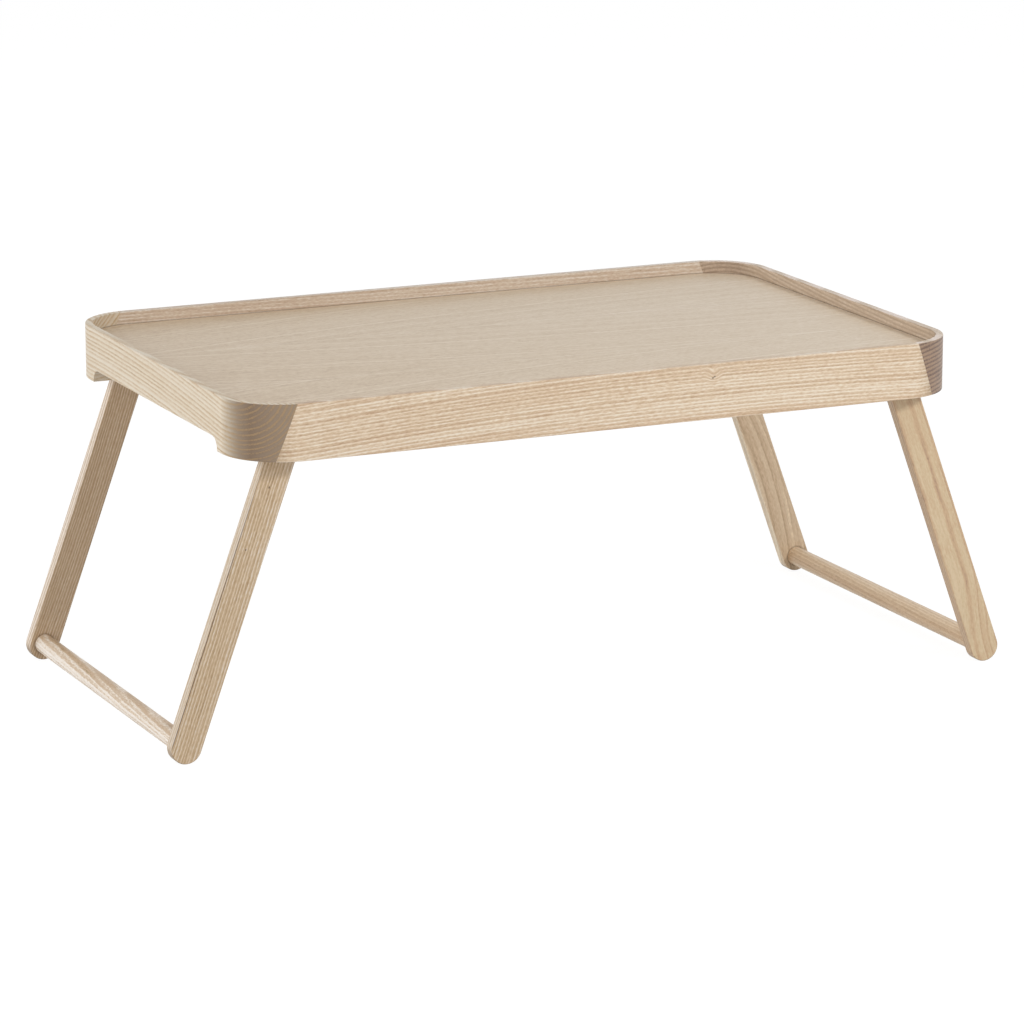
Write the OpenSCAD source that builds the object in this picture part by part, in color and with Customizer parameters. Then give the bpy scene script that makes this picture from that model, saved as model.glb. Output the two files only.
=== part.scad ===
// Breakfast tray in solid ash with a veneered panel and two leg frames that fold flat under it.
// X runs along the tray, Y from front to back, Z up, with the feet on Z = 0.

/* [Tray] */
// Length of the tray over its two end pieces
tray_l = 600; // [540:5:680]
// Depth of the tray over its front and back rails
tray_w = 380; // [320:5:460]
// Thickness of the front and back rails below the panel
rail_t = 25; // [24:0.5:32]
// Thickness of the end pieces at their lower edge
end_t = 26; // [24:0.5:36]
// Outer radius of the tray's corners
corner_r = 48; // [36:1:56]
// Width of the rim above the panel
rim_t = 6; // [4:0.5:9]
// Drop from the rim's top to the panel
panel_drop = 10; // [6:0.5:12]
// Thickness of the panel
panel_t = 6; // [4:0.5:6]
// Gap between the panel's edge and the rim
panel_gap = 0.25; // [0.1:0.05:0.3]

/* [Hand grips] */
// Length of the cut in each end piece's lower edge
grip_l = 266; // [120:2:266]
// Height of that cut
grip_rise = 10; // [6:0.5:14]
// Radius of the cut's two upper corners
grip_fillet_r = 9; // [3:0.5:9]

/* [Leg frames] */
// Width of a leg, seen from the front
leg_w = 24; // [20:0.5:24]
// Thickness of a leg, seen from the end
leg_t = 10.5; // [9:0.5:14]
// Angle of the open legs from upright
splay = 20; // [14:0.5:24]
// How far the folded legs stay above the rails' lower edge
fold_recess = 1; // [0.5:0.25:1.5]
// Room between a folded leg and the panel above it
fold_headroom = 2; // [1.5:0.25:5]
// Gap between the two folded frames in the middle of the tray
fold_gap = 3.5; // [2:0.5:10]
// Gap between an open leg and the end piece it stops against
stop_gap = 0.3; // [0.2:0.05:0.5]
// Diameter of the stretchers
stretcher_d = 15.5; // [13:0.5:18]
// How far a stretcher's axis lies above the centre of the foot's round end
stretcher_rise = 1; // [0:0.5:3]
// Diameter of the tenon on each stretcher end
tenon_d = 10; // [8:0.5:11]
// Length of that tenon
tenon_l = 7; // [5:0.5:7.5]

/* [Pivots] */
// Diameter of the bolt's shoulder, which the leg turns on
shoulder_d = 8; // [7:0.5:8]
// Diameter of the bolt's threaded end
thread_d = 6; // [5:0.5:6]
// Length of the threaded end
thread_l = 10; // [8:0.5:11]
// Diameter of the bolt's head
head_d = 14; // [13:0.5:16]
// Height of the bolt's head
head_h = 3; // [2.5:0.25:4]
// Width across flats of the head's hexagon socket
socket_af = 4; // [3:0.5:5]
// Depth of the socket
socket_depth = 2; // [1.5:0.25:2]
// Outer diameter of the threaded insert in the rail
insert_d = 9; // [8.5:0.25:9]
// Length of the threaded insert
insert_l = 12; // [11.5:0.25:13]
// Outer diameter of the sleeve in the leg
bush_d = 11; // [10:0.25:12]
// Outer diameter of the washer between rail and leg
spacer_d = 20; // [16:0.5:20]
// Room that this washer takes between rail and leg
spacer_t = 1; // [0.75:0.25:1.5]
// Outer diameter of the dished washer under the bolt's head
spring_d = 15; // [14:0.5:16]
// Thickness of that washer's steel
spring_t = 0.5; // [0.4:0.1:0.6]
// How far that washer is dished
spring_dish = 0.4; // [0.2:0.1:0.5]
// Radial play between the shoulder and what turns or sits on it
turn_play = 0.05; // [0.03:0.01:0.08]
// Play left beside each washer, along the bolt
side_play = 0.05; // [0.02:0.01:0.1]

/* [Glue joints] */
// Diameter of the dowels across the slanted joints
dowel_d = 6; // [5:0.5:6]
// Length of these dowels
dowel_l = 22; // [16:1:22]
// Wood between the insert and the dowels, one below it and one above, seen from the front
dowel_wall = 0.75; // [0.5:0.25:1]
// Distance of the dowels from the rails' inner face
dowel_in = 7.5; // [6:0.5:8]
// Room for glue around dowels and tenons, and at their ends
glue_gap = 0.05; // [0.03:0.01:0.1]

/* [Hidden] */
$fn = 96;
// Overlap of a cutting shape past the face that it cuts
past = 1;

// The end piece's inner face slants like the open leg. Everything in X starts from where
// that face meets the lower edge, and each frame folds to just short of the middle.
stop_low_x = tray_l / 2 - end_t;
pivot_up = fold_recess + leg_w / 2;
stop_reach = (leg_w / 2 + stop_gap) / cos(splay);
pivot_x = stop_low_x - pivot_up * tan(splay) - stop_reach;
leg_c = pivot_x - fold_gap / 2 - leg_w / 2;
pivot_z = leg_c * cos(splay) + leg_w / 2;

// Upwards, the folded leg sets the room under the panel, and the panel and rim stand on that
rail_z = pivot_z - pivot_up;
shelf_z = pivot_z + leg_w / 2 + fold_headroom;
panel_z = shelf_z + panel_t;
rim_z = panel_z + panel_drop;
rail_h = rim_z - rail_z;
rail_in_y = tray_w / 2 - rail_t;

// Sizes along the pivot, counted inwards from the rail's inner face
leg_in = spacer_t;
leg_out = leg_in + leg_t;
spring_room = spring_t + spring_dish + side_play;
head_in = leg_out + spring_room;

leg_y = rail_in_y - leg_out;
stretcher_c = leg_c - stretcher_rise;
dowel_y = rail_in_y + dowel_in;
dowel_apart = (insert_d + dowel_d) / 2 + dowel_wall;
dowel_zs = [pivot_z - dowel_apart, pivot_z + dowel_apart];

ash_rail = "#dcc8a8";
ash_end = "#ddccb0";
ash_leg = "#cdb591";
ash_veneer = "#cfc0a9";
beech = "#d3a678";
brass = "#c9a64f";
steel = "#b4b6b8";
nylon = "#e9e6dc";

// X of the slanted face at height z
function stop_x(z) = stop_low_x - (z - rail_z) * tan(splay);

// Plan of the tray, drawn in from its outer edge by inset
module tray_plan(inset) {
    r = corner_r - inset;
    w = tray_w - 2 * inset;
    l = tray_l - 2 * inset;
    square([l - 2 * r, w], center = true);
    square([l, w - 2 * r], center = true);
    for (x = [-1, 1], y = [-1, 1])
        translate([x * (l / 2 - r), y * (w / 2 - r)])
            circle(r);
}

// Side view in X and Z, pushed through the tray's whole depth
module through_y(w) {
    rotate([90, 0, 0])
        linear_extrude(height = w, center = true)
            children();
}

// Cylinder along Y, from y to y plus l
module rod_y(d, y, l) {
    translate([0, y, 0])
        rotate([-90, 0, 0])
            cylinder(d = d, h = l);
}

// The frame's full block, less the recess that takes the panel
module frame_block() {
    difference() {
        translate([0, 0, rail_z])
            linear_extrude(height = rail_h)
                tray_plan(0);
        translate([0, 0, shelf_z])
            linear_extrude(height = rail_h)
                tray_plan(rim_t);
    }
}

// Side view of all that lies between the two slanted faces
module between_stops() {
    low = rail_z - past;
    high = rim_z + past;
    polygon([[-stop_x(low), low], [stop_x(low), low], [stop_x(high), high], [-stop_x(high), high]]);
}

// Holes for the dowels of all four slanted joints, or the dowels themselves
module joint_dowels(d, l) {
    for (sx = [-1, 1], sy = [-1, 1], z = dowel_zs)
        translate([sx * stop_x(z), sy * dowel_y, z])
            rotate([0, 90, 0])
                cylinder(d = d, h = l, center = true);
}

// The four pivots, each with its bolt axis on Y and the rail's inner face at Y = 0
module at_pivots() {
    for (sx = [-1, 1], sy = [0, 1])
        mirror([0, sy, 0])
            translate([sx * pivot_x, rail_in_y, pivot_z])
                children();
}

// One rail, drawn at the back
module rail() {
    difference() {
        intersection() {
            frame_block();
            through_y(tray_w + 2 * past)
                between_stops();
            translate([-tray_l / 2, rail_in_y, 0])
                cube([tray_l, rail_t + past, rim_z + past]);
        }
        joint_dowels(dowel_d + 2 * glue_gap, dowel_l + 2 * glue_gap);
        at_pivots()
            rod_y(insert_d + 2 * glue_gap, -past, insert_l + glue_gap + past);
    }
}

// Cut for the hand in the lower edge, seen from the end
module grip_outline() {
    w = grip_l / 2 - grip_fillet_r;
    top = grip_rise - grip_fillet_r;
    translate([-grip_l / 2, -past])
        square([grip_l, top + past]);
    translate([-w, -past])
        square([2 * w, grip_rise + past]);
    for (s = [-1, 1])
        translate([s * w, top])
            circle(grip_fillet_r);
}

// One end piece with both its corners, drawn at the right
module end_piece() {
    difference() {
        intersection() {
            frame_block();
            translate([0, -tray_w, 0])
                cube([tray_l, 2 * tray_w, rim_z + past]);
        }
        through_y(tray_w + 2 * past)
            between_stops();
        translate([0, 0, rail_z])
            rotate([90, 0, 90])
                linear_extrude(height = tray_l)
                    grip_outline();
        joint_dowels(dowel_d + 2 * glue_gap, dowel_l + 2 * glue_gap);
    }
}

// One leg standing open at the right, drawn at the back, with its bores
module leg() {
    foot_x = leg_c * sin(splay);
    translate([pivot_x, leg_y, pivot_z])
        rotate([0, -splay, 0])
            difference() {
                union() {
                    rod_y(leg_w, 0, leg_t);
                    translate([-leg_w / 2, 0, -leg_c])
                        cube([leg_w, leg_t, leg_c]);
                    translate([0, 0, -leg_c])
                        rod_y(leg_w, 0, leg_t);
                }
                rod_y(bush_d + 2 * glue_gap, -past, leg_t + 2 * past);
                translate([0, 0, -stretcher_c])
                    rod_y(tenon_d + 2 * glue_gap, -past, tenon_l + glue_gap + past);
            }
}

// One stretcher with its two tenons, at the right
module stretcher() {
    translate([pivot_x, 0, pivot_z])
        rotate([0, -splay, 0])
            translate([0, 0, -stretcher_c]) {
                rod_y(stretcher_d, -leg_y, 2 * leg_y);
                rod_y(tenon_d, -leg_y - tenon_l, 2 * (leg_y + tenon_l));
            }
}

// The two sleeves of the right frame
module bushes() {
    for (s = [0, 1])
        mirror([0, s, 0])
            translate([pivot_x, leg_y, pivot_z])
                difference() {
                    rod_y(bush_d, 0, leg_t);
                    rod_y(shoulder_d + 2 * turn_play, -past, leg_t + 2 * past);
                }
}

// A shoulder bolt, head inwards, on the pivot's own axis
module bolt() {
    socket_r = socket_af / 2 / cos(30);
    difference() {
        union() {
            rod_y(thread_d, 0, thread_l);
            rod_y(shoulder_d, -head_in, head_in);
            rod_y(head_d, -head_in - head_h, head_h);
        }
        translate([0, -head_in - head_h - past, 0])
            rotate([-90, 0, 0])
                cylinder(r = socket_r, h = socket_depth + past, $fn = 6);
    }
}

// Half section of the dished washer, in radius and height above the leg
module spring_section() {
    inner = shoulder_d / 2 + turn_play;
    outer = spring_d / 2;
    polygon([[inner, spring_dish], [outer, 0], [outer, spring_t], [inner, spring_dish + spring_t]]);
}

// The left side of the tray, from the shape drawn at the right
module left_side() {
    mirror([1, 0, 0])
        children();
}

module tray_panel() {
    color(ash_veneer)
        translate([0, 0, shelf_z])
            linear_extrude(height = panel_t)
                tray_plan(rim_t + panel_gap);
}

module front_rail() {
    color(ash_rail)
        mirror([0, 1, 0])
            rail();
}

module back_rail() {
    color(ash_rail)
        rail();
}

module left_end_piece() {
    color(ash_end)
        left_side()
            end_piece();
}

module right_end_piece() {
    color(ash_end)
        end_piece();
}

module corner_dowels() {
    color(beech)
        joint_dowels(dowel_d, dowel_l);
}

module pivot_inserts() {
    color(brass)
        at_pivots()
            difference() {
                rod_y(insert_d, 0, insert_l);
                rod_y(thread_d + 2 * turn_play, -past, insert_l + 2 * past);
            }
}

module pivot_bolts() {
    color(steel)
        at_pivots()
            bolt();
}

module spacer_washers() {
    color(nylon)
        at_pivots()
            difference() {
                rod_y(spacer_d, -spacer_t + side_play, spacer_t - side_play);
                rod_y(shoulder_d + 2 * turn_play, -spacer_t - past, spacer_t + 2 * past);
            }
}

module spring_washers() {
    color(steel)
        at_pivots()
            translate([0, -leg_out - side_play, 0])
                rotate([90, 0, 0])
                    rotate_extrude()
                        spring_section();
}

module left_front_leg() {
    color(ash_leg)
        left_side()
            mirror([0, 1, 0])
                leg();
}

module left_back_leg() {
    color(ash_leg)
        left_side()
            leg();
}

module left_stretcher() {
    color(ash_leg)
        left_side()
            stretcher();
}

module left_pivot_bushes() {
    color(nylon)
        left_side()
            bushes();
}

module right_front_leg() {
    color(ash_leg)
        mirror([0, 1, 0])
            leg();
}

module right_back_leg() {
    color(ash_leg)
        leg();
}

module right_stretcher() {
    color(ash_leg)
        stretcher();
}

module right_pivot_bushes() {
    color(nylon)
        bushes();
}

tray_panel();
front_rail();
back_rail();
left_end_piece();
right_end_piece();
corner_dowels();
pivot_inserts();
pivot_bolts();
spacer_washers();
spring_washers();
left_front_leg();
left_back_leg();
left_stretcher();
left_pivot_bushes();
right_front_leg();
right_back_leg();
right_stretcher();
right_pivot_bushes();
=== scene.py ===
import math
import bpy
from mathutils import Matrix, Vector

# Breakfast tray in pale ash: a veneered panel in a lipped frame, on two leg frames that fold under it.
# Everything is in metres here, and the wood's own sizes are written in millimetres.

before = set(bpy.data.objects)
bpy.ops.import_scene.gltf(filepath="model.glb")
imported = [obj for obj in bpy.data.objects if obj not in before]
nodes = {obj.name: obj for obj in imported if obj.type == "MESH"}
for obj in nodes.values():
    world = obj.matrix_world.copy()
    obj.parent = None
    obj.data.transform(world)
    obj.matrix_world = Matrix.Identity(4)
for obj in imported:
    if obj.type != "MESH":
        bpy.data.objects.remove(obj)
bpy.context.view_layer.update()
mm = 0.001
print("frame loaded,", len(nodes), "nodes")


def hexToLinear(code):
    values = [int(code[i:i + 2], 16) / 255 for i in (0, 2, 4)]
    return [v / 12.92 if v <= 0.04045 else ((v + 0.055) / 1.055) ** 2.4 for v in values] + [1.0]


def addNode(tree, kind, settings=None, links=None):
    # a socket goes by its name, or by its number where names repeat. In a Map Range,
    # 1 and 2 are the range that comes in and 3 and 4 the range that goes out
    node = tree.nodes.new(kind)
    for name, value in (settings or {}).items():
        if isinstance(name, str) and hasattr(node, name):
            setattr(node, name, value)
        else:
            node.inputs[name].default_value = value
    for name, source in (links or {}).items():
        tree.links.new(source, node.inputs[name])
    return node


def newMaterial(name):
    material = bpy.data.materials.new(name)
    material.use_nodes = True
    material.node_tree.nodes.clear()
    return material, material.node_tree


def setRamp(node, stops):
    # a stop is a position with a hex colour, or with a number for a plain grey
    ramp = node.color_ramp
    while len(ramp.elements) < len(stops):
        ramp.elements.new(0.5)
    for element, (position, tone) in zip(ramp.elements, stops):
        element.position = position
        element.color = hexToLinear(tone) if isinstance(tone, str) else (tone, tone, tone, 1)
    return node.outputs["Color"]


def placeInMm(tree):
    place = addNode(tree, "ShaderNodeTexCoord").outputs["Object"]
    return addNode(tree, "ShaderNodeVectorMath", {"operation": "SCALE", "Scale": 1 / mm},
                   {0: place}).outputs[0]


def stained(tree, colour, tone, amount):
    # lays one plain tone over the wood's colour
    return addNode(tree, "ShaderNodeMix", {"data_type": "RGBA", 7: hexToLinear(tone)},
                   {0: amount, 6: colour}).outputs[2]


# How wood is drawn: a board is a piece cut out of a log. The log's pith is a line along the grain,
# the growth rings are shells round it, and every face of the board shows where it cuts them.
# A cut says how a board lies in its log, and what is left out comes from commonAsh.

commonAsh = {
    "rise": (0, 0, 1), "tilt": 0, "bow": 0,
    "waver": (3.0, 60, 0.12), "ripple": (0.9, 8, 0.3),      # amount, size, pull along the grain
    "ring": 2.6, "unevenYears": 0.8, "unevenSpan": 2.6, "unevenTone": 0.35, "rareYears": 1,
    "season": [(0.0, 0.85), (0.15, 1.0), (0.45, 0.75), (0.7, 0.1), (0.85, 0.0), (1.0, 0.85)],
    "broken": 0.4, "breakSize": (5, 35), "breakRange": (0.3, 0.7),
    "pore": (0.8, 5), "poreFrom": 0.56, "poreSoft": 0.15,   # drawn coarse: real pores are 0.3 mm
    "poreStray": 0.15, "poreDepth": 0.03, "toneDepth": 0.35,
    "streaks": [(12, 200, 0.4), (1.4, 28, 0.4), (0.9, 3.5, 1.0)],   # across, along, tone
    "baseTone": 0.4, "rowMiddle": 0.4, "ringTone": 0.5, "poreTone": 0.12,
    "spellTone": 0.5, "spellRate": 0.3, "paintedLightSlope": 0, "paintedFaceLight": 0, "paintedFaceSide": 1,
    "endTones": [(0.0, "A88F70"), (1.0, "7A6148")], "endDark": (1, 1), "endReach": 300,
    "endTurn": [(0.14, 0), (0.28, 0.16), (0.4, 0.5), (0.52, 0.84), (0.66, 1)],
    "knots": [], "marks": [], "lipped": False, "mortised": False, "roughness": (0.4, 0.48),
}


def logAxes(cut):
    along = Vector(cut["grain"]).normalized()
    rise = Vector(cut["rise"])
    rise = (rise - along * rise.dot(along)).normalized()
    return rise, along.cross(rise), along


def logPlace(tree, cut):
    # millimetres from the pith: x toward "rise", y across it, z along the grain
    turn = Matrix(logAxes(cut)).transposed().to_euler()
    place = addNode(tree, "ShaderNodeTexCoord").outputs["Object"]
    return addNode(tree, "ShaderNodeMapping", {
        "vector_type": "TEXTURE",
        "Location": [v * mm for v in cut["pith"]],
        "Rotation": turn,
        "Scale": (mm, mm, mm),
    }, {"Vector": place}).outputs["Vector"]


def growWood(tree, log, cut):
    # a trunk isn't a ruled cylinder: it wavers slowly, ripples finely, leans, curves and grows round knots
    bent = log
    for amount, size, pull in (cut["waver"], cut["ripple"]):
        squeezed = addNode(tree, "ShaderNodeVectorMath", {"operation": "MULTIPLY", 1: (1, 1, pull)},
                           {0: log}).outputs[0]
        push = addNode(tree, "ShaderNodeTexNoise", {"Scale": 1 / size, "Detail": 1.5},
                       {"Vector": squeezed}).outputs["Color"]
        bent = addNode(tree, "ShaderNodeVectorMath", {"operation": "MULTIPLY_ADD", 1: (amount, amount, 0)},
                       {0: push, 2: bent}).outputs[0]
    parts = addNode(tree, "ShaderNodeSeparateXYZ", {}, {0: bent})
    slope = addNode(tree, "ShaderNodeMath", {"operation": "MULTIPLY_ADD", 1: cut["bow"], 2: cut["tilt"]},
                    {0: parts.outputs["Z"]}).outputs[0]
    lean = addNode(tree, "ShaderNodeMath", {"operation": "MULTIPLY"},
                   {0: slope, 1: parts.outputs["Z"]}).outputs[0]
    upright = addNode(tree, "ShaderNodeMath", {"operation": "SUBTRACT"},
                      {0: parts.outputs["X"], 1: lean}).outputs[0]
    for knot in cut["knots"]:
        away = addNode(tree, "ShaderNodeVectorMath", {"operation": "DISTANCE", 1: knot["at"]},
                       {0: log}).outputs["Value"]
        dip = addNode(tree, "ShaderNodeMapRange", {
            "interpolation_type": "SMOOTHERSTEP", 1: 0, 2: knot["reach"], 3: knot["dip"], 4: 0,
        }, {0: away}).outputs[0]
        upright = addNode(tree, "ShaderNodeMath", {"operation": "ADD"}, {0: upright, 1: dip}).outputs[0]
    return addNode(tree, "ShaderNodeCombineXYZ", {},
                   {0: upright, 1: parts.outputs["Y"], 2: parts.outputs["Z"]}).outputs[0]


def growthRings(tree, wood, cut):
    flat = addNode(tree, "ShaderNodeVectorMath", {"operation": "MULTIPLY", 1: (1, 1, 0)},
                   {0: wood}).outputs[0]
    radius = addNode(tree, "ShaderNodeVectorMath", {"operation": "LENGTH"}, {0: flat}).outputs["Value"]
    # years differ in width, so the count of rings runs unevenly with the radius
    years = addNode(tree, "ShaderNodeTexNoise", {
        "noise_dimensions": "1D", "Scale": 1 / (cut["ring"] * cut["unevenSpan"]), "Detail": 1.0,
    }, {"W": radius}).outputs[0]
    even = addNode(tree, "ShaderNodeMath", {"operation": "MULTIPLY", 1: 1 / cut["ring"]},
                   {0: radius}).outputs[0]
    count = addNode(tree, "ShaderNodeMath", {"operation": "MULTIPLY_ADD", 1: cut["unevenYears"]},
                    {0: years, 2: even}).outputs[0]
    year = addNode(tree, "ShaderNodeMath", {"operation": "FLOOR"}, {0: count}).outputs[0]
    season = addNode(tree, "ShaderNodeMath", {"operation": "FRACT"}, {0: count}).outputs[0]
    # ash is ring-porous: each year starts with a row of open pores and fades into dense late wood
    porous = setRamp(addNode(tree, "ShaderNodeValToRGB", {}, {0: season}), cut["season"])
    luck = addNode(tree, "ShaderNodeTexWhiteNoise", {"noise_dimensions": "1D"}, {"W": year}).outputs["Value"]
    if cut["rareYears"] > 1:
        luck = addNode(tree, "ShaderNodeMath", {"operation": "POWER", 1: cut["rareYears"]},
                       {0: luck}).outputs[0]
    strength = addNode(tree, "ShaderNodeMapRange", {3: 1 - cut["unevenTone"], 4: 1}, {0: luck}).outputs[0]
    early = addNode(tree, "ShaderNodeMath", {"operation": "MULTIPLY"}, {0: porous, 1: strength}).outputs[0]
    # good and lean spells of a few years each make broader pale and tan bands
    spell = addNode(tree, "ShaderNodeTexNoise", {
        "noise_dimensions": "1D", "Scale": cut["spellRate"], "Detail": 1.0,
    }, {"W": count}).outputs[0]
    return early, spell


def streaks(tree, wood, across, along, detail=1.0):
    scale = (1 / across, 1 / across, 1 / along)
    drawn = addNode(tree, "ShaderNodeVectorMath", {"operation": "MULTIPLY", 1: scale}, {0: wood}).outputs[0]
    return addNode(tree, "ShaderNodeTexNoise", {"Scale": 1, "Detail": detail, "Roughness": 0.6},
                   {"Vector": drawn}).outputs[0]


def facing(tree, way, side=0):
    # 1 where a face looks along "way", 0 where it lies along it. Side 1 leaves out the faces
    # that look straight back, side -1 counts only those, and side 0 counts both
    normal = addNode(tree, "ShaderNodeTexCoord").outputs["Normal"]
    turned = addNode(tree, "ShaderNodeVectorMath", {"operation": "DOT_PRODUCT", 1: way},
                     {0: normal}).outputs["Value"]
    if side == 0:
        return addNode(tree, "ShaderNodeMath", {"operation": "ABSOLUTE"}, {0: turned}).outputs[0]
    return addNode(tree, "ShaderNodeMath", {"operation": "MULTIPLY", 1: side, "use_clamp": True},
                   {0: turned}).outputs[0]


def ashTone(tree, log, cut):
    # one value from 0, the palest wood, to 1, an open pore
    wood = growWood(tree, log, cut)
    early, spell = growthRings(tree, wood, cut)
    vessel = streaks(tree, wood, *cut["pore"], detail=0.0)
    opened = addNode(tree, "ShaderNodeMapRange", {1: cut["poreFrom"], 2: cut["poreFrom"] + cut["poreSoft"]},
                     {0: vessel}).outputs[0]
    inRow = addNode(tree, "ShaderNodeMapRange", {3: cut["poreStray"], 4: 1}, {0: early}).outputs[0]
    pores = addNode(tree, "ShaderNodeMath", {"operation": "MULTIPLY"}, {0: opened, 1: inRow}).outputs[0]
    # the rows of pores fade in and out along the board
    broken = streaks(tree, wood, *cut["breakSize"])
    low, high = cut["breakRange"]
    clear = addNode(tree, "ShaderNodeMapRange", {1: low, 2: high, 3: 1 - cut["broken"], 4: 1 + cut["broken"]},
                    {0: broken}).outputs[0]
    row = addNode(tree, "ShaderNodeMath", {"operation": "SUBTRACT", 1: cut["rowMiddle"]},
                  {0: early}).outputs[0]
    faded = addNode(tree, "ShaderNodeMath", {"operation": "MULTIPLY"}, {0: row, 1: clear}).outputs[0]
    # each layer is what it adds, how much of it, and its middle, which leaves the tone unchanged
    layers = [(faded, cut["ringTone"], 0), (spell, cut["spellTone"], 0.5), (pores, cut["poreTone"], 0)]
    for across, along, amount in cut["streaks"]:
        layers.append((streaks(tree, wood, across, along), amount, 0.5))
    # painted light: the tone grows paler along the grain, standing in for the key lamp's light rising towards
    # the right
    if cut["paintedLightSlope"]:
        height = addNode(tree, "ShaderNodeSeparateXYZ", {}, {0: log}).outputs["Z"]
        layers.append((height, -cut["paintedLightSlope"], 0))
    # painted light and shade: faces that look along the log's rise axis are made paler or darker, standing in
    # for the lamps' light, shade and sheen on tops and sides
    if cut["paintedFaceLight"]:
        layers.append((facing(tree, logAxes(cut)[0], cut["paintedFaceSide"]), cut["paintedFaceLight"], 0))
    tone = None
    for source, amount, middle in layers:
        settings = {"operation": "MULTIPLY_ADD", 1: amount}
        if tone is None:
            settings[2] = cut["baseTone"] - sum(a * m for _, a, m in layers)
        tone = addNode(tree, "ShaderNodeMath", settings,
                       {0: source} if tone is None else {0: source, 2: tone}).outputs[0]
    return tone, pores


def endGrain(tree, log, cut):
    # cut ends drink in the lacquer and turn darker than the long faces, one end often more than the other
    amount = facing(tree, logAxes(cut)[2])
    shown = setRamp(addNode(tree, "ShaderNodeValToRGB", {}, {0: amount}), cut["endTurn"])
    height = addNode(tree, "ShaderNodeSeparateXYZ", {}, {0: log}).outputs["Z"]
    near, far = cut["endDark"]
    dark = addNode(tree, "ShaderNodeMapRange", {1: 0, 2: cut["endReach"], 3: near, 4: far},
                   {0: height}).outputs[0]
    return addNode(tree, "ShaderNodeMath", {"operation": "MULTIPLY"}, {0: shown, 1: dark}).outputs[0]


def lacquer(tree, colour, tone, pores, cut):
    # matt water-based lacquer, sprayed and denibbed: it softens the pores but leaves them open
    smoothest, roughest = cut["roughness"]
    rough = addNode(tree, "ShaderNodeMapRange", {3: smoothest, 4: roughest}, {0: tone}).outputs[0]
    depth = addNode(tree, "ShaderNodeMath", {"operation": "MULTIPLY_ADD", 1: cut["toneDepth"]},
                    {0: tone, 2: pores}).outputs[0]
    bump = addNode(tree, "ShaderNodeBump", {"invert": True, "Strength": 1, "Distance": cut["poreDepth"] * mm},
                   {"Height": depth}).outputs[0]
    shader = addNode(tree, "ShaderNodeBsdfPrincipled", {"IOR": 1.5},
                     {"Base Color": colour, "Roughness": rough, "Normal": bump})
    addNode(tree, "ShaderNodeOutputMaterial", {}, {0: shader.outputs[0]})


# "core" is the share of a spot that is fully dark, and "squeeze" draws it out along the grain
spots = {"squeeze": 0.6, "core": 0.4, "strength": 0.85, "tone": "5A4636"}


def darkSpots(tree, log, marks, colour):
    # the small dark scars a bud or a pin knot leaves in clear wood, and a thin dark line along one leg's
    # arris
    for mark in marks:
        squeeze = (1, 1, mark.get("squeeze", spots["squeeze"]))
        squeezed = addNode(tree, "ShaderNodeVectorMath", {"operation": "MULTIPLY", 1: squeeze},
                           {0: log}).outputs[0]
        spot = [a * b for a, b in zip(mark["at"], squeeze)]
        away = addNode(tree, "ShaderNodeVectorMath", {"operation": "DISTANCE", 1: spot},
                       {0: squeezed}).outputs["Value"]
        dark = addNode(tree, "ShaderNodeMapRange", {
            1: mark["size"] * spots["core"], 2: mark["size"], 3: spots["strength"], 4: 0,
        }, {0: away}).outputs[0]
        colour = stained(tree, colour, spots["tone"], dark)
    return colour


# the inner corner's centre and radius, and the height at which the panel meets the lip
lip = {"middle": (252, 142), "radius": 42, "panelTop": 259.8, "gap": 0.6, "strength": 0.45, "tone": "6B5642"}


def paintedLipShadow(tree, colour):
    # a painted hairline of shadow lies where the panel enters the lip
    inMm = placeInMm(tree)
    past = addNode(tree, "ShaderNodeVectorMath", {"operation": "ABSOLUTE"}, {0: inMm}).outputs[0]
    past = addNode(tree, "ShaderNodeVectorMath", {"operation": "SUBTRACT", 1: (*lip["middle"], 0)},
                   {0: past}).outputs[0]
    past = addNode(tree, "ShaderNodeVectorMath", {"operation": "MAXIMUM", 1: (0, 0, 0)},
                   {0: past}).outputs[0]
    past = addNode(tree, "ShaderNodeVectorMath", {"operation": "MULTIPLY", 1: (1, 1, 0)},
                   {0: past}).outputs[0]
    reach = addNode(tree, "ShaderNodeVectorMath", {"operation": "LENGTH"}, {0: past}).outputs["Value"]
    inside = addNode(tree, "ShaderNodeMath", {"operation": "COMPARE", 1: lip["radius"], 2: lip["gap"]},
                     {0: reach}).outputs[0]
    height = addNode(tree, "ShaderNodeSeparateXYZ", {}, {0: inMm}).outputs["Z"]
    low = addNode(tree, "ShaderNodeMath", {"operation": "COMPARE", 1: lip["panelTop"], 2: lip["gap"]},
                  {0: height}).outputs[0]
    line = addNode(tree, "ShaderNodeMath", {"operation": "MULTIPLY"}, {0: inside, 1: low}).outputs[0]
    amount = addNode(tree, "ShaderNodeMath", {"operation": "MULTIPLY", 1: lip["strength"]},
                     {0: line}).outputs[0]
    return stained(tree, colour, lip["tone"], amount)


tenon = {
    "axis": (339.1, 12.9), "radius": 7.75,      # where the stretcher enters a leg, and its radius
    "legFace": 153.5, "faceSlack": 0.5,         # a leg's inner face, from the middle of the tray
    "shade": 2.0, "strength": 0.6, "tone": "5E4A38",
}


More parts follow.
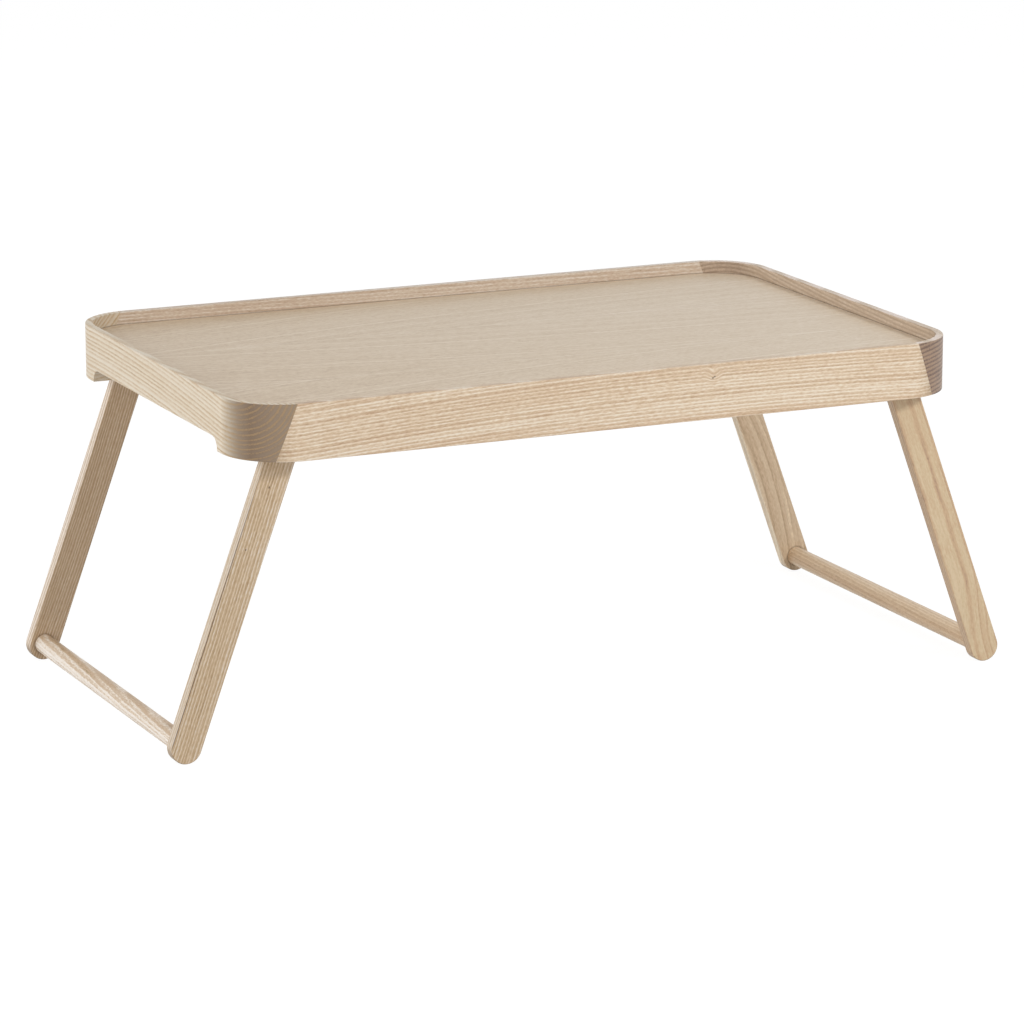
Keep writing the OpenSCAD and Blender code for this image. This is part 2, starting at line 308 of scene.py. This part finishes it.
def paintedTenonShade(tree, colour):
    # painted shade: a soft dark ring lies in the corner where the stretcher enters the inner face of a leg
    folded = addNode(tree, "ShaderNodeVectorMath", {"operation": "ABSOLUTE"},
                     {0: placeInMm(tree)}).outputs[0]
    flat = addNode(tree, "ShaderNodeVectorMath", {"operation": "MULTIPLY", 1: (1, 0, 1)},
                   {0: folded}).outputs[0]
    centre = (tenon["axis"][0], 0, tenon["axis"][1])
    away = addNode(tree, "ShaderNodeVectorMath", {"operation": "DISTANCE", 1: centre},
                   {0: flat}).outputs["Value"]
    ring = addNode(tree, "ShaderNodeMapRange", {
        1: tenon["radius"], 2: tenon["radius"] + tenon["shade"], 3: tenon["strength"], 4: 0,
    }, {0: away}).outputs[0]
    deep = addNode(tree, "ShaderNodeSeparateXYZ", {}, {0: folded}).outputs["Y"]
    inner = addNode(tree, "ShaderNodeMath", {
        "operation": "COMPARE", 1: tenon["legFace"], 2: tenon["faceSlack"],
    }, {0: deep}).outputs[0]
    amount = addNode(tree, "ShaderNodeMath", {"operation": "MULTIPLY"}, {0: ring, 1: inner}).outputs[0]
    return stained(tree, colour, tenon["tone"], amount)


def solidAsh(name, cut):
    # solid ash, planed and sanded: cream late wood between tan pore rows, darker where the ends are cut
    cut = {**commonAsh, **cut}
    material, tree = newMaterial(name)
    log = logPlace(tree, cut)
    tone, pores = ashTone(tree, log, cut)
    longFace = setRamp(addNode(tree, "ShaderNodeValToRGB", {}, {0: tone}), cut["longTones"])
    endFace = setRamp(addNode(tree, "ShaderNodeValToRGB", {}, {0: tone}), cut["endTones"])
    colour = addNode(tree, "ShaderNodeMix", {"data_type": "RGBA"},
                     {0: endGrain(tree, log, cut), 6: longFace, 7: endFace}).outputs[2]
    colour = darkSpots(tree, log, cut["marks"], colour)
    # painted shadow: a dark hairline where the panel enters the lip
    if cut["lipped"]:
        colour = paintedLipShadow(tree, colour)
    # painted shade: a soft dark ring round the stretcher where it enters a leg
    if cut["mortised"]:
        colour = paintedTenonShade(tree, colour)
    lacquer(tree, colour, tone, pores, cut)
    return material


frontRailCut = {
    "grain": (1, 0, 0), "pith": (0, -165, 90), "tilt": 0.022, "bow": -0.00011, "lipped": True,
    "ring": 2.8, "unevenYears": 1.0, "broken": 0.15, "ripple": (0.7, 8, 0.3),
    "ringTone": 0.62, "paintedFaceLight": 0.08, "paintedLightSlope": 0.00012,
    "knots": [{"at": (171, 25, 81), "reach": 9, "dip": 3}],
    "marks": [{"at": (168.9, 25, 80.0), "size": 0.75}, {"at": (169.7, 25, 81.5), "size": 0.7}],
    "longTones": [
        (0.0, "E9DDCB"), (0.2, "E2D1BB"), (0.4, "D9C2A6"), (0.6, "CFB597"), (0.8, "C5A88B"), (1, "B79879"),
    ],
    "endTones": [(0.0, "B59C7C"), (1.0, "7A6148")],
}

backRailCut = {
    "grain": (1, 0, 0), "pith": (0, 120, 100), "tilt": -0.01, "lipped": True,
    "ring": 2.8, "ringTone": 0.4, "paintedFaceLight": -0.2, "paintedLightSlope": 0.0002,
    "longTones": [
        (0.05, "E0D4C7"), (0.22, "D7C9B9"), (0.4, "CEBCA8"), (0.58, "C6B09B"), (0.8, "BBA48E"), (1, "A79076"),
    ],
    "endTones": [(0.0, "B59C7C"), (1.0, "7A6148")],
}

leftEndCut = {
    "grain": (0, 1, 0), "pith": (-308, -165, 291), "tilt": 0.12, "bow": -0.00019, "lipped": True,
    "ring": 3.4, "waver": (2.0, 60, 0.12), "broken": 0.3,
    "season": [(0.0, 1.0), (0.2, 0.9), (0.4, 0.35), (0.65, 0.0), (0.85, 0.2), (1.0, 1.0)],
    "streaks": [(12, 200, 0.3), (1.4, 28, 0.4), (0.9, 3.5, 0.7)],
    "ringTone": 0.75, "spellTone": 0.3, "paintedFaceLight": 0.05,
    "longTones": [
        (0.05, "E4D7C3"), (0.22, "E0D1BA"), (0.4, "DAC9AF"), (0.58, "D4BEA0"), (0.8, "C9AF8C"), (1, "B99D7A"),
    ],
    "endTones": [(0.1, "7E6955"), (0.4, "7B6652"), (0.8, "987D5C")], "endDark": (1, 0.25),
    "endTurn": [(0, 0), (0.15, 0.28), (0.3, 0.59), (0.45, 0.84), (0.64, 1), (1, 0.84)],
}

rightEndCut = {
    "grain": (0, 1, 0), "pith": (300, -165, 80), "tilt": 0.02, "bow": 0.00012, "lipped": True,
    "ring": 3.3, "unevenYears": 0.5, "unevenTone": 0.2, "waver": (3.5, 90, 0.15), "broken": 0.25,
    "season": [(0.0, 1.0), (0.25, 0.8), (0.45, 0.15), (0.8, 0.0), (1.0, 1.0)],
    "streaks": [(12, 200, 0.3), (1.4, 28, 0.3), (0.9, 3.5, 0.5)],
    "baseTone": 0.5, "ringTone": 0.36, "spellTone": 0.15, "paintedFaceLight": -0.27,
    "longTones": [
        (0.0, "F0E0D6"), (0.2, "E4D2C2"), (0.34, "D4C1AB"), (0.46, "CBB6A0"), (0.6, "C1AC95"),
        (0.8, "B8A188"), (1, "B0977C"),
    ],
    "endTones": [(0.34, "A18770"), (0.52, "8B7362"), (0.76, "6A5448")], "endDark": (1, 0.5),
}

legFrame = {"lean": 20, "foot": (339.1, 12)}    # degrees past upright, and the middle of the round foot


def legCut(side, pith, extra):
    # a leg's pith is given across the leg, toward the end of the tray, then front to back,
    # then up the leg from the middle of its foot
    lean = math.radians(legFrame["lean"])
    reach, height = legFrame["foot"]
    out = Vector((side * math.cos(lean), 0, math.sin(lean)))
    up = Vector((-side * math.sin(lean), 0, math.cos(lean)))
    place = Vector((reach * side, 0, height)) + out * pith[0] + up * pith[2]
    return {"grain": up, "rise": out, "pith": (place.x, pith[1], place.z), "mortised": True, **extra}


leftFrontLegCut = legCut(-1, (-110, -80, 115), {
    "tilt": 0.01, "ring": 2.0, "unevenYears": 0.6, "unevenTone": 0.3,
    "waver": (1.5, 60, 0.12), "broken": 0.3,
    "streaks": [(12, 200, 0.25), (1.4, 28, 0.3), (0.9, 3.5, 0.8)],
    "ringTone": 0.6, "spellTone": 0.3, "paintedFaceLight": -0.25,
    "marks": [
        {"at": (111.7, 84, 88), "size": 0.8},
        {"at": (114.2, 84, 39), "size": 0.7},
        # a thin dark line down the arris between the narrow and front faces
        {"at": (121.45, 83.9, -30), "size": 0.54, "squeeze": 0.0028},
    ],
    "longTones": [
        (0.05, "DACDBE"), (0.22, "D5C0A4"), (0.4, "C8B194"), (0.58, "BEA484"), (0.8, "B19674"), (1, "977C5A"),
    ],
})

leftBackLegCut = legCut(-1, (-110, 90, 115), {
    "bow": 0.00019, "ring": 1.9, "unevenYears": 0.5, "unevenTone": 0.2,
    "waver": (1.5, 60, 0.12), "broken": 0.2,
    "streaks": [(12, 200, 0.15), (1.4, 28, 0.2), (0.9, 3.5, 0.6)],
    "baseTone": 0.6, "ringTone": 0.6, "spellTone": 0.15, "paintedFaceLight": -0.47,
    "longTones": [
        (0.0, "F2E4D7"), (0.15, "E6D5C1"), (0.32, "D2BDA4"), (0.42, "CCB49B"), (0.6, "C2AA8C"),
        (0.78, "B89D7D"), (1, "AD8F6E"),
    ],
})

rightFrontLegCut = legCut(1, (-3, -134, 115), {
    "ring": 3.0, "unevenYears": 0.4, "unevenTone": 0.2, "waver": (2.0, 60, 0.12), "broken": 0.5,
    "season": [(0.0, 1.0), (0.12, 0.7), (0.28, 0.1), (0.85, 0.0), (1.0, 1.0)],
    "streaks": [(12, 200, 0.3), (1.4, 28, 0.4), (0.9, 3.5, 0.7)],
    "ringTone": 0.45, "spellTone": 0.3, "paintedFaceLight": 0.3, "paintedFaceSide": -1,
    "knots": [{"at": (0, -30, -130), "reach": 95, "dip": 11}],
    "longTones": [
        (0.05, "D4BE9E"), (0.22, "CEB896"), (0.4, "C9AD8C"), (0.58, "C2A483"), (0.8, "B4957A"), (1, "9C7D65"),
    ],
})

rightBackLegCut = legCut(1, (-12, 166, 87), {
    "bow": -0.0012, "ring": 7.0, "unevenYears": 0.4, "unevenTone": 0.4,
    "waver": (2.0, 60, 0.12), "broken": 0.3,
    "season": [(0.0, 1.0), (0.1, 0.7), (0.2, 0.5), (0.5, 0.45), (0.62, 0.1), (0.9, 0.0), (1.0, 1.0)],
    "streaks": [(12, 200, 0.3), (1.4, 28, 0.3), (0.9, 3.5, 0.7)],
    "baseTone": 0.6, "paintedFaceLight": -0.46, "paintedFaceSide": -1,
    "longTones": [
        (0.0, "F7E6CA"), (0.15, "ECD7B9"), (0.32, "DDC8AC"), (0.42, "D5BFA2"), (0.6, "CEB699"),
        (0.78, "C3A98B"), (1, "AF967B"),
    ],
})

leftStretcherCut = {
    "grain": (0, 1, 0), "pith": (-343, 0, 2), "tilt": 0.04,
    "ring": 3.2, "waver": (5.0, 26, 0.25), "ripple": (1.2, 5, 0.35), "broken": 0.3,
    "streaks": [(12, 200, 0.4), (1.4, 28, 0.3), (0.9, 3.5, 0.8)],
    "baseTone": 0.08, "ringTone": 0.4, "spellTone": 0.3, "paintedFaceLight": 0.49, "paintedFaceSide": 0,
    "longTones": [(0.05, "FAF1E7"), (0.3, "F1E4D4"), (0.55, "D5BEA3"), (0.8, "CBAF8F"), (1, "B19773")],
}

rightStretcherCut = {
    "grain": (0, 1, 0), "pith": (360, 0, 40), "tilt": 0.03,
    "streaks": [(12, 200, 0.3), (1.4, 28, 0.25), (0.9, 3.5, 0.7)],
    "baseTone": 0.63, "ringTone": 0.3, "paintedFaceLight": -0.4, "paintedFaceSide": 0,
    "knots": [{"at": (-27, 20, 15), "reach": 12, "dip": 3}],
    "longTones": [(0.05, "F0DBC1"), (0.3, "E3CBAC"), (0.55, "D6BA99"), (0.8, "C7A886"), (1, "AA8C6A")],
}

veneerCut = {
    "leafWidth": 133.5, "leafJoint": 59.5, "leafPith": (140, 60), "tilt": 0.13, "bow": -0.000136,
    "jointWidth": (0.4, 1.0), "jointShow": 0.35, "jointTone": "F5EADB",
    "ring": 2.8, "unevenYears": 1.0, "unevenTone": 0.95, "rareYears": 2.2,
    "waver": (6.0, 90, 0.12), "ripple": (1.6, 8, 0.3), "broken": 0.5,
    "season": [(0.0, 1.0), (0.2, 0.8), (0.45, 0.1), (0.85, 0.0), (1.0, 1.0)],
    "streaks": [(20, 250, 0.12), (2.5, 6, 0.4), (0.9, 3.5, 0.7)],
    "baseTone": 0.53, "rowMiddle": 0.2, "ringTone": -0.5, "spellTone": 0.12, "poreTone": 0.05,
    "paintedLightSlope": 0.0004, "roughness": (0.4, 0.46),
    "longTones": [(0.0, "F5E5D5"), (0.35, "E7D6BF"), (0.7, "D8C3A7"), (1.0, "C1A78A")],
}


def ashVeneer():
    # knife-cut ash veneer, leaves turned like book pages so that their figure meets in mirror image
    cut = {**commonAsh, **veneerCut}
    material, tree = newMaterial("ashVeneer")
    parts = addNode(tree, "ShaderNodeSeparateXYZ", {}, {0: placeInMm(tree)})
    fromJoint = addNode(tree, "ShaderNodeMath", {"operation": "SUBTRACT", 1: cut["leafJoint"]},
                        {0: parts.outputs["Y"]}).outputs[0]
    leaf = addNode(tree, "ShaderNodeMath", {"operation": "PINGPONG", 1: cut["leafWidth"]},
                   {0: fromJoint}).outputs[0]
    pithAcross, pithBelow = cut["leafPith"]
    inLog = addNode(tree, "ShaderNodeMath", {"operation": "SUBTRACT", 1: pithAcross}, {0: leaf}).outputs[0]
    log = addNode(tree, "ShaderNodeCombineXYZ", {1: pithBelow},
                  {0: inLog, 2: parts.outputs["X"]}).outputs[0]
    tone, pores = ashTone(tree, log, cut)
    veneer = setRamp(addNode(tree, "ShaderNodeValToRGB", {}, {0: tone}), cut["longTones"])
    # the taped edges of two leaves show as a faint pale line
    edge = addNode(tree, "ShaderNodeMath", {"operation": "PINGPONG", 1: cut["leafWidth"] / 2},
                   {0: leaf}).outputs[0]
    full, none = cut["jointWidth"]
    joint = addNode(tree, "ShaderNodeMapRange", {1: full, 2: none, 3: cut["jointShow"], 4: 0},
                    {0: edge}).outputs[0]
    # then a painted hairline of shadow where the panel enters the lip
    colour = paintedLipShadow(tree, stained(tree, veneer, cut["jointTone"], joint))
    lacquer(tree, colour, tone, pores, cut)
    return material


dowelLook = {
    "fleck": (0.5, 2, 2),   # flecks in a millimetre along x, y and z
    "tones": [(0.35, "D6AF8A"), (0.6, "C4966F"), (0.75, "9A6B48")],
    "depth": 0.03, "roughness": 0.7,
}


def beechDowel():
    # steamed beech, turned and left raw: even pinkish wood with short dark flecks
    material, tree = newMaterial("beechDowel")
    fleck = addNode(tree, "ShaderNodeVectorMath", {"operation": "MULTIPLY", 1: dowelLook["fleck"]},
                    {0: placeInMm(tree)}).outputs[0]
    tone = addNode(tree, "ShaderNodeTexNoise", {"Scale": 1, "Detail": 2}, {"Vector": fleck}).outputs[0]
    colour = setRamp(addNode(tree, "ShaderNodeValToRGB", {}, {0: tone}), dowelLook["tones"])
    bump = addNode(tree, "ShaderNodeBump", {"Distance": dowelLook["depth"] * mm},
                   {"Height": tone}).outputs[0]
    shader = addNode(tree, "ShaderNodeBsdfPrincipled", {"Roughness": dowelLook["roughness"]},
                     {"Base Color": colour, "Normal": bump})
    addNode(tree, "ShaderNodeOutputMaterial", {}, {0: shader.outputs[0]})
    return material


# "grain" and "depth" are the size and depth, in millimetres, of the marks that the making leaves
steelLook = {
    "grain": 0.6, "depth": 0.01, "tones": [(0.3, "B4B7B8"), (0.7, "CFD1D0")],
    "roughness": (0.26, 0.42), "shader": {"Metallic": 1},
}
brassLook = {
    "grain": 0.5, "depth": 0.01, "tones": [(0.3, "BE9A55"), (0.7, "D8B873")],
    "roughness": (0.3, 0.46), "shader": {"Metallic": 1},
}
nylonLook = {
    "grain": 0.8, "depth": 0.01, "tones": [(0.3, "DDD9CC"), (0.7, "E8E5DA")],
    "roughness": (0.38, 0.5), "shader": {"IOR": 1.53},
}


def fineFinish(name, look):
    # one fine cloudy grain gives the colour, the sheen and the tool marks
    material, tree = newMaterial(name)
    place = addNode(tree, "ShaderNodeTexCoord").outputs["Object"]
    grain = addNode(tree, "ShaderNodeTexNoise", {
        "Scale": 1 / (look["grain"] * mm), "Detail": 3, "Roughness": 0.7,
    }, {"Vector": place}).outputs[0]
    colour = setRamp(addNode(tree, "ShaderNodeValToRGB", {}, {0: grain}), look["tones"])
    smoothest, roughest = look["roughness"]
    rough = addNode(tree, "ShaderNodeMapRange", {3: smoothest, 4: roughest}, {0: grain}).outputs[0]
    bump = addNode(tree, "ShaderNodeBump", {"Distance": look["depth"] * mm}, {"Height": grain}).outputs[0]
    shader = addNode(tree, "ShaderNodeBsdfPrincipled", look["shader"],
                     {"Base Color": colour, "Roughness": rough, "Normal": bump})
    addNode(tree, "ShaderNodeOutputMaterial", {}, {0: shader.outputs[0]})
    return material


def platedSteel():
    # zinc-plated steel bolts and springs: cool grey with a slightly cloudy shine
    return fineFinish("platedSteel", steelLook)


def turnedBrass():
    # turned brass inserts: warm yellow, duller where the tool has left rings
    return fineFinish("turnedBrass", brassLook)


def mouldedNylon():
    # natural nylon, injection moulded: milky off-white with a soft satin skin
    return fineFinish("mouldedNylon", nylonLook)


def dress(names, material):
    for name in names:
        slots = nodes[name].data.materials
        slots.clear()
        slots.append(material)


dress(["tray_panel"], ashVeneer())
dress(["front_rail"], solidAsh("ashRail", frontRailCut))
dress(["back_rail"], solidAsh("ashBackRail", backRailCut))
dress(["left_end_piece"], solidAsh("ashLeftEnd", leftEndCut))
dress(["right_end_piece"], solidAsh("ashRightEnd", rightEndCut))
dress(["left_front_leg"], solidAsh("ashLeftFrontLeg", leftFrontLegCut))
dress(["left_back_leg"], solidAsh("ashLeftBackLeg", leftBackLegCut))
dress(["right_front_leg"], solidAsh("ashRightFrontLeg", rightFrontLegCut))
dress(["right_back_leg"], solidAsh("ashRightBackLeg", rightBackLegCut))
dress(["left_stretcher"], solidAsh("ashLeftStretcher", leftStretcherCut))
dress(["right_stretcher"], solidAsh("ashRightStretcher", rightStretcherCut))
dress(["corner_dowels"], beechDowel())
dress(["pivot_bolts", "spring_washers"], platedSteel())
dress(["pivot_inserts"], turnedBrass())
dress(["spacer_washers", "left_pivot_bushes", "right_pivot_bushes"], mouldedNylon())
print("woods, metals and nylon made")

# how wide the sharp edges of each piece are sanded off, in millimetres
arrises = {
    "front_rail": 0.5, "back_rail": 0.5, "left_end_piece": 0.5, "right_end_piece": 0.5,
    "left_front_leg": 0.8, "left_back_leg": 0.8, "right_front_leg": 0.8, "right_back_leg": 0.8,
}
easing = {"weld": 0.002, "sharpFrom": 0.6, "flatWithin": 0.3, "steps": 2}   # mm, radians, degrees, count
# where rail and end piece meet, in mm and degrees
jointPlane = {"x": 274, "z": 226.809, "lean": 20, "slack": 0.15}


def arrisGroup():
    # marks the sharp edges that a maker would ease with a block, and leaves the closed joints alone
    group = bpy.data.node_groups.new("easedEdges", "GeometryNodeTree")
    group.interface.new_socket("Geometry", in_out="INPUT", socket_type="NodeSocketGeometry")
    group.interface.new_socket("Geometry", in_out="OUTPUT", socket_type="NodeSocketGeometry")
    start = addNode(group, "NodeGroupInput")
    joined = addNode(group, "GeometryNodeMergeByDistance", {"Distance": easing["weld"] * mm},
                     {0: start.outputs[0]})
    angle = addNode(group, "GeometryNodeInputMeshEdgeAngle").outputs[0]
    sharp = addNode(group, "FunctionNodeCompare", {
        "data_type": "FLOAT", "operation": "GREATER_THAN", 1: easing["sharpFrom"],
    }, {0: angle}).outputs[0]
    place = addNode(group, "GeometryNodeInputPosition").outputs[0]
    parts = addNode(group, "ShaderNodeSeparateXYZ", {}, {0: place})
    reach = addNode(group, "ShaderNodeMath", {"operation": "ABSOLUTE"}, {0: parts.outputs["X"]}).outputs[0]
    lean = math.tan(math.radians(jointPlane["lean"]))
    rising = addNode(group, "ShaderNodeMath", {
        "operation": "MULTIPLY_ADD", 1: lean, 2: -(jointPlane["x"] + jointPlane["z"] * lean) * mm,
    }, {0: parts.outputs["Z"]}).outputs[0]
    off = addNode(group, "ShaderNodeMath", {"operation": "ADD"}, {0: reach, 1: rising}).outputs[0]
    clear = addNode(group, "ShaderNodeMath", {"operation": "ABSOLUTE"}, {0: off}).outputs[0]
    free = addNode(group, "ShaderNodeMath", {"operation": "GREATER_THAN", 1: jointPlane["slack"] * mm},
                   {0: clear}).outputs[0]
    weight = addNode(group, "ShaderNodeMath", {"operation": "MULTIPLY"}, {0: sharp, 1: free}).outputs[0]
    kept = addNode(group, "ShaderNodeMath", {"operation": "SUBTRACT"}, {0: sharp, 1: weight}).outputs[0]
    smooth = addNode(group, "GeometryNodeSetShadeSmooth", {"domain": "FACE"}, {0: joined.outputs[0]})
    eased = addNode(group, "GeometryNodeStoreNamedAttribute", {
        "data_type": "FLOAT", "domain": "EDGE", "Name": "bevel_weight_edge",
    }, {0: smooth.outputs[0], "Value": weight})
    creased = addNode(group, "GeometryNodeStoreNamedAttribute", {
        "data_type": "BOOLEAN", "domain": "EDGE", "Name": "sharp_edge",
    }, {0: eased.outputs[0], "Value": kept})
    addNode(group, "NodeGroupOutput", {}, {0: creased.outputs[0]})
    return group


def easeEdges(sizes):
    group = arrisGroup()
    for name, size in sizes.items():
        piece = nodes[name]
        piece.modifiers.new("edges", "NODES").node_group = group
        flat = piece.modifiers.new("flat", "DECIMATE")
        flat.decimate_type = "DISSOLVE"
        flat.angle_limit = math.radians(easing["flatWithin"])
        arris = piece.modifiers.new("arris", "BEVEL")
        arris.limit_method = "WEIGHT"
        arris.width = size * mm
        arris.segments = easing["steps"]
        arris.use_clamp_overlap = False
        shade = piece.modifiers.new("shade", "WEIGHTED_NORMAL")
        shade.keep_sharp = True


easeEdges(arrises)
print("edges eased")

cameraSet = {
    "place": (-1.50519, -3.26365, 1.00236), "pitch": 76.213, "turn": -24.765,
    "lens": 164.3, "film": 36, "sees": 100,
}


def makeCamera():
    data = bpy.data.cameras.new("camera")
    data.lens = cameraSet["lens"]
    data.sensor_width = cameraSet["film"]
    data.clip_end = cameraSet["sees"]
    camera = bpy.data.objects.new("camera", data)
    camera.location = cameraSet["place"]
    camera.rotation_euler = (math.radians(cameraSet["pitch"]), 0, math.radians(cameraSet["turn"]))
    bpy.context.scene.collection.objects.link(camera)
    bpy.context.scene.camera = camera


lamps = {
    "windowLeft": {"place": (-2.9, -1.0, 0.9), "size": 2.6, "watts": 50, "colour": "FFFFFF"},
    "keyRight": {"place": (0.97, -1.78, 1.26), "size": 0.3, "watts": 18.5, "colour": "FFFFFF"},
    "softFront": {"place": (0.5, -3.4, 0.5), "size": 2.4, "watts": 13, "colour": "FFFFFF"},
    "fillBack": {"place": (-1.3, 2.6, 0.9), "size": 2.0, "watts": 16, "colour": "FFFFFF"},
}
studio = {
    "lampsAim": (0, 0, 0.2), "worldLight": 0.4, "seen": 1.0, "white": "FFFFFF",
    "floorSize": 40, "floorWhite": 0.93, "floorShade": 0.16, "floorBounce": 0.75,
}


def makeLamps():
    target = Vector(studio["lampsAim"])
    for name, lamp in lamps.items():
        data = bpy.data.lights.new(name, "AREA")
        data.shape = "SQUARE"
        data.size = lamp["size"]
        data.energy = lamp["watts"]
        data.color = hexToLinear(lamp["colour"])[:3]
        light = bpy.data.objects.new(name, data)
        light.location = lamp["place"]
        light.visible_glossy = False   # the lacquer mirrors the white room, not the lamps
        light.rotation_euler = (target - light.location).to_track_quat("-Z", "Y").to_euler()
        bpy.context.scene.collection.objects.link(light)


def seenDirectly(tree):
    # 1 for what the camera, a shiny surface or something clear looks at, 0 for light that falls on the wood
    path = addNode(tree, "ShaderNodeLightPath")
    either = addNode(tree, "ShaderNodeMath", {"operation": "MAXIMUM"},
                     {0: path.outputs["Is Camera Ray"], 1: path.outputs["Is Glossy Ray"]}).outputs[0]
    return addNode(tree, "ShaderNodeMath", {"operation": "MAXIMUM"},
                   {0: either, 1: path.outputs["Is Transmission Ray"]}).outputs[0]


def makeWorld():
    world = bpy.data.worlds.new("paleStudio")
    bpy.context.scene.world = world
    world.use_nodes = True
    tree = world.node_tree
    tree.nodes.clear()
    white = hexToLinear(studio["white"])
    light = addNode(tree, "ShaderNodeBackground", {"Color": white, "Strength": studio["worldLight"]})
    seen = addNode(tree, "ShaderNodeBackground", {"Color": white, "Strength": studio["seen"]})
    mix = addNode(tree, "ShaderNodeMixShader", {},
                  {0: seenDirectly(tree), 1: light.outputs[0], 2: seen.outputs[0]})
    addNode(tree, "ShaderNodeOutputWorld", {}, {0: mix.outputs[0]})


def makeFloor():
    bpy.ops.mesh.primitive_plane_add(size=studio["floorSize"], location=(0, 0, 0))
    floor = bpy.context.active_object
    floor.name = "floor"
    material, tree = newMaterial("paleFloor")
    white = hexToLinear(studio["white"])
    glow = addNode(tree, "ShaderNodeEmission", {"Color": white, "Strength": studio["floorWhite"]})
    shade = addNode(tree, "ShaderNodeBsdfDiffuse", {"Color": [studio["floorShade"]] * 3 + [1]})
    seen = addNode(tree, "ShaderNodeAddShader", {}, {0: glow.outputs[0], 1: shade.outputs[0]})
    bounce = addNode(tree, "ShaderNodeBsdfDiffuse", {"Color": [studio["floorBounce"]] * 3 + [1]})
    above = addNode(tree, "ShaderNodeMixShader", {},
                    {0: seenDirectly(tree), 1: bounce.outputs[0], 2: seen.outputs[0]})
    # the floor is clear from below, to show the underside
    below = addNode(tree, "ShaderNodeNewGeometry").outputs["Backfacing"]
    clear = addNode(tree, "ShaderNodeBsdfTransparent", {"Color": white})
    mix = addNode(tree, "ShaderNodeMixShader", {}, {0: below, 1: above.outputs[0], 2: clear.outputs[0]})
    addNode(tree, "ShaderNodeOutputMaterial", {}, {0: mix.outputs[0]})
    floor.data.materials.append(material)


makeCamera()
makeLamps()
makeWorld()
makeFloor()
bpy.context.scene.view_settings.view_transform = "Standard"
print("camera, lamps and floor placed")
